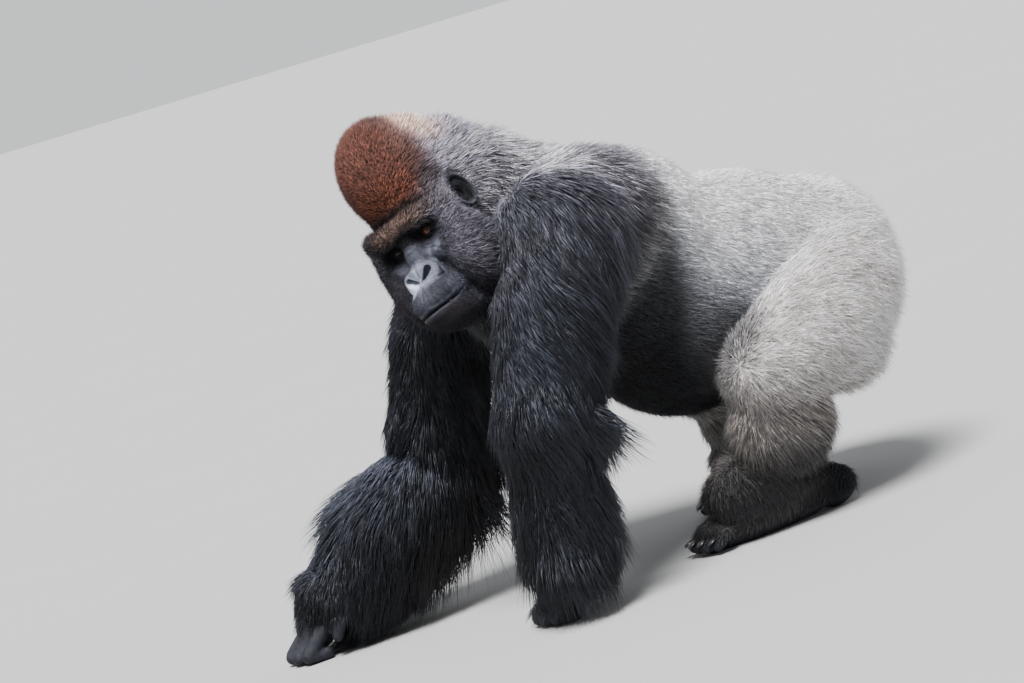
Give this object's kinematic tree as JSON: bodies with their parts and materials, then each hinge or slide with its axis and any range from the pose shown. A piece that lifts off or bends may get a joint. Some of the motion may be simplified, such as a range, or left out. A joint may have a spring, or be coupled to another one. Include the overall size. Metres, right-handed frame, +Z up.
{
  "type": "gorilla",
  "caption": "Life-size silverback gorilla walking on its knuckles, head turned aside, shaped out to the tips of its coat.",
  "frame": {"origin": "middle of the bounding box of the whole animal, at floor level", "axes": "the animal faces -Y, its left side is +X, +Z is up, the floor is z = 0"},
  "size_m": [0.8432, 1.4458, 1.053],
  "materials": {
    "head": "short dense fur, rust-brown on the crown, over a naked black face",
    "lower_jaw": "short grizzled beard over dark skin",
    "neck": "dense grizzled grey fur",
    "chest": "black fur, silvered along the back",
    "belly": "silver to blue-grey fur, black underneath",
    "rump": "pale silver fur",
    "upper_arm": "long black hair",
    "forearm": "long shaggy black hair",
    "hand": "black hair over naked black fingers",
    "thigh": "pale beige-grey fur",
    "shin": "brown-grey fur",
    "foot": "black hair over naked black toes",
    "ear": "naked dark skin",
    "eye": "wet amber-brown"
  },
  "bodies": {
    "root": {"head": "head", "lower_jaw": "lower_jaw", "neck": "neck", "chest": "chest", "belly": "belly", "rump": "rump", "upper_arm_left": "upper_arm", "upper_arm_right": "upper_arm", "forearm_left": "forearm", "forearm_right": "forearm", "hand_left": "hand", "hand_right": "hand", "thigh_left": "thigh", "thigh_right": "thigh", "shin_left": "shin", "shin_right": "shin", "foot_left": "foot", "foot_right": "foot", "ear_left": "ear", "ear_right": "ear", "eye_left": "eye", "eye_right": "eye"}
  },
  "joints": []
}
